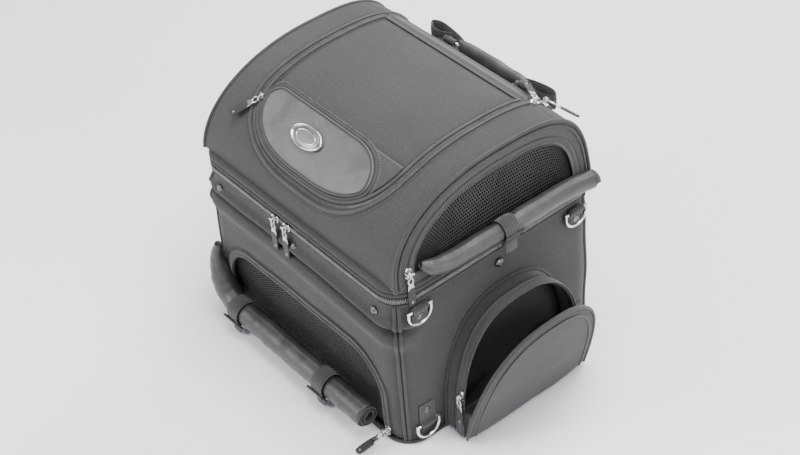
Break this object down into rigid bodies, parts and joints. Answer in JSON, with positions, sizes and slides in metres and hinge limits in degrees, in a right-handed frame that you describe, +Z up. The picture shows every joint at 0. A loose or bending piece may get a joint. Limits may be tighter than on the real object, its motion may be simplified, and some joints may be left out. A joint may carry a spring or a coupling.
{
  "type": "tail bag",
  "caption": "Soft-sided motorcycle tail bag with a domed zip lid, rolled mesh windows, gusseted side pockets, a zipped top flap, D-rings and a carry handle.",
  "frame": {"origin": "on the ground under the middle of the body, in the underside of the base panel", "axes": "+Z up; the front with the wide window faces -Y; the right side faces +X; the lid hinges along the back edge at +Y"},
  "size_m": [0.5459, 0.4095, 0.3885],
  "materials": {
    "body_fabric": "dark woven polyester, matt",
    "base_fabric": "heavy coated base cloth",
    "board_plastic": "stiffener board",
    "fleece": "fleece cushion cover",
    "piping": "cloth-covered piping",
    "mesh": "open knitted mesh",
    "zipper_tape": "woven tape with nylon coil",
    "leatherette": "soft grained synthetic leather",
    "pad_leather": "smooth satin synthetic leather",
    "webbing": "ribbed polyester webbing",
    "rivet_metal": "dark nickel rivets and studs",
    "chrome": "bright plated die casting",
    "pull_metal": "plated pull with moulded grip"
  },
  "bodies": {
    "bag_body": {"base_panel": "base_fabric", "base_board": "board_plastic", "floor_cushion": "fleece", "body_piping": "piping", "front_panel": "body_fabric", "back_panel": "body_fabric", "right_side_panel": "body_fabric", "left_side_panel": "body_fabric", "front_mesh": "mesh", "front_window_zipper": "zipper_tape", "front_flap_roll": "leatherette", "front_roll_straps": "webbing", "right_pocket_gusset": "body_fabric", "left_pocket_gusset": "body_fabric", "d_ring_tabs": "webbing", "rivets_and_studs": "rivet_metal", "main_zipper_lower": "zipper_tape", "body_sliders": "chrome"},
    "lid": {"lid_shell": "body_fabric", "lid_right_end": "body_fabric", "lid_left_end": "body_fabric", "lid_rim": "body_fabric", "main_zipper_upper": "zipper_tape", "window_meshes": "mesh", "window_zippers": "zipper_tape", "right_window_roll": "leatherette", "left_window_roll": "leatherette", "lid_straps": "webbing", "top_zipper": "zipper_tape", "lid_sliders": "chrome", "handle_rings": "chrome"},
    "top_flap": {"top_flap": "body_fabric", "badge_pocket": "pad_leather", "badge": "chrome", "badge_slider": "chrome"},
    "main_pull_left": {"main_pull_left": "pull_metal"},
    "main_pull_right": {"main_pull_right": "pull_metal"},
    "front_window_pull": {"front_window_pull": "pull_metal"},
    "right_pocket_pull_front": {"right_pocket_pull_front": "pull_metal"},
    "right_pocket_pull_back": {"right_pocket_pull_back": "pull_metal"},
    "left_pocket_pull_front": {"left_pocket_pull_front": "pull_metal"},
    "left_pocket_pull_back": {"left_pocket_pull_back": "pull_metal"},
    "right_window_pull": {"right_window_pull": "pull_metal"},
    "left_window_pull": {"left_window_pull": "pull_metal"},
    "top_pull_left": {"top_pull_left": "pull_metal"},
    "top_pull_right": {"top_pull_right": "pull_metal"},
    "badge_pull": {"badge_pull": "pull_metal"},
    "d_ring_right_front_upper": {"d_ring_right_front_upper": "chrome"},
    "d_ring_right_back_upper": {"d_ring_right_back_upper": "chrome"},
    "d_ring_right_front_lower": {"d_ring_right_front_lower": "chrome"},
    "d_ring_right_back_lower": {"d_ring_right_back_lower": "chrome"},
    "d_ring_left_front_upper": {"d_ring_left_front_upper": "chrome"},
    "d_ring_left_back_upper": {"d_ring_left_back_upper": "chrome"},
    "d_ring_left_front_lower": {"d_ring_left_front_lower": "chrome"},
    "d_ring_left_back_lower": {"d_ring_left_back_lower": "chrome"},
    "main_slider_left": {"main_slider_left": "chrome"},
    "main_slider_right": {"main_slider_right": "chrome"},
    "handle": {"handle": "leatherette"},
    "right_pocket_panel": {"right_pocket_panel": "body_fabric"},
    "left_pocket_panel": {"left_pocket_panel": "body_fabric"}
  },
  "joints": [
    {"name": "lid_hinge", "type": "hinge", "parent": "bag_body", "child": "lid", "pos_m": [0, 0.165, 0.25], "axis": [-1, 0, 0], "range_deg": [0, 100]},
    {"name": "top_flap_hinge", "type": "hinge", "parent": "lid", "child": "top_flap", "pos_m": [0, 0.1133, 0.37574], "axis": [-1, 0, 0], "range_deg": [0, 95]},
    {"name": "handle_swing", "type": "hinge", "parent": "lid", "child": "handle", "pos_m": [0, 0.168, 0.34], "axis": [1, 0, 0], "range_deg": [0, 110]},
    {"name": "right_pocket_hinge", "type": "hinge", "parent": "bag_body", "child": "right_pocket_panel", "pos_m": [0.24, 0, 0.008], "axis": [0, 1, 0], "range_deg": [-16, 64]},
    {"name": "left_pocket_hinge", "type": "hinge", "parent": "bag_body", "child": "left_pocket_panel", "pos_m": [-0.24, 0, 0.008], "axis": [0, -1, 0], "range_deg": [0, 80]},
    {"name": "d_ring_right_front_upper_swing", "type": "hinge", "parent": "bag_body", "child": "d_ring_right_front_upper", "pos_m": [0.205, -0.131, 0.232], "axis": [0, -1, 0], "range_deg": [0, 170]},
    {"name": "d_ring_right_front_lower_swing", "type": "hinge", "parent": "bag_body", "child": "d_ring_right_front_lower", "pos_m": [0.205, -0.131, 0.032], "axis": [0, -1, 0], "range_deg": [0, 170]},
    {"name": "d_ring_right_back_upper_swing", "type": "hinge", "parent": "bag_body", "child": "d_ring_right_back_upper", "pos_m": [0.205, 0.131, 0.232], "axis": [0, -1, 0], "range_deg": [0, 170]},
    {"name": "d_ring_right_back_lower_swing", "type": "hinge", "parent": "bag_body", "child": "d_ring_right_back_lower", "pos_m": [0.205, 0.131, 0.032], "axis": [0, -1, 0], "range_deg": [0, 170]},
    {"name": "d_ring_left_front_upper_swing", "type": "hinge", "parent": "bag_body", "child": "d_ring_left_front_upper", "pos_m": [-0.205, -0.131, 0.232], "axis": [0, 1, 0], "range_deg": [0, 170]},
    {"name": "d_ring_left_front_lower_swing", "type": "hinge", "parent": "bag_body", "child": "d_ring_left_front_lower", "pos_m": [-0.205, -0.131, 0.032], "axis": [0, 1, 0], "range_deg": [0, 170]},
    {"name": "d_ring_left_back_upper_swing", "type": "hinge", "parent": "bag_body", "child": "d_ring_left_back_upper", "pos_m": [-0.205, 0.131, 0.232], "axis": [0, 1, 0], "range_deg": [0, 170]},
    {"name": "d_ring_left_back_lower_swing", "type": "hinge", "parent": "bag_body", "child": "d_ring_left_back_lower", "pos_m": [-0.205, 0.131, 0.032], "axis": [0, 1, 0], "range_deg": [0, 170]},
    {"name": "main_zip_left", "type": "slide", "parent": "bag_body", "child": "main_slider_left", "axis": [-1, 0, 0], "range_m": [0, 0.125]},
    {"name": "main_zip_right", "type": "slide", "parent": "bag_body", "child": "main_slider_right", "axis": [1, 0, 0], "range_m": [0, 0.17]},
    {"name": "main_pull_left_swing", "type": "hinge", "parent": "main_slider_left", "child": "main_pull_left", "pos_m": [-0.034, -0.173, 0.25], "axis": [-1, 0, 0], "range_deg": [0, 150]},
    {"name": "main_pull_right_swing", "type": "hinge", "parent": "main_slider_right", "child": "main_pull_right", "pos_m": [-0.01, -0.173, 0.25], "axis": [-1, 0, 0], "range_deg": [0, 150]},
    {"name": "front_window_pull_swing", "type": "hinge", "parent": "bag_body", "child": "front_window_pull", "pos_m": [0.168, -0.1733, 0.015], "axis": [-1, 0, 0], "range_deg": [0, 90]},
    {"name": "right_pocket_pull_front_swing", "type": "hinge", "parent": "bag_body", "child": "right_pocket_pull_front", "pos_m": [0.236, -0.1041, 0.08], "axis": [-1, 0, 0], "range_deg": [0, 120]},
    {"name": "right_pocket_pull_back_swing", "type": "hinge", "parent": "bag_body", "child": "right_pocket_pull_back", "pos_m": [0.236, 0.1121, 0.08], "axis": [1, 0, 0], "range_deg": [0, 120]},
    {"name": "left_pocket_pull_front_swing", "type": "hinge", "parent": "bag_body", "child": "left_pocket_pull_front", "pos_m": [-0.236, -0.1041, 0.08], "axis": [-1, 0, 0], "range_deg": [0, 120]},
    {"name": "left_pocket_pull_back_swing", "type": "hinge", "parent": "bag_body", "child": "left_pocket_pull_back", "pos_m": [-0.236, 0.1121, 0.08], "axis": [1, 0, 0], "range_deg": [0, 120]},
    {"name": "right_window_pull_swing", "type": "hinge", "parent": "lid", "child": "right_window_pull", "pos_m": [0.203, -0.14, 0.29], "axis": [0, -1, 0], "range_deg": [0, 150]},
    {"name": "left_window_pull_swing", "type": "hinge", "parent": "lid", "child": "left_window_pull", "pos_m": [-0.203, -0.14, 0.29], "axis": [0, 1, 0], "range_deg": [0, 150]},
    {"name": "top_pull_left_swing", "type": "hinge", "parent": "lid", "child": "top_pull_left", "pos_m": [0.143, 0.12193, 0.38184], "axis": [0.4848, 0.7875, -0.3806], "range_deg": [0, 140]},
    {"name": "top_pull_right_swing", "type": "hinge", "parent": "lid", "child": "top_pull_right", "pos_m": [0.143, 0.13814, 0.37179], "axis": [0.4067, -0.7183, 0.5645], "range_deg": [0, 140]},
    {"name": "badge_pull_swing", "type": "hinge", "parent": "top_flap", "child": "badge_pull", "pos_m": [-0.124, -0.10754, 0.36508], "axis": [-0.891, 0.3925, 0.2281], "range_deg": [0, 120]}
  ]
}
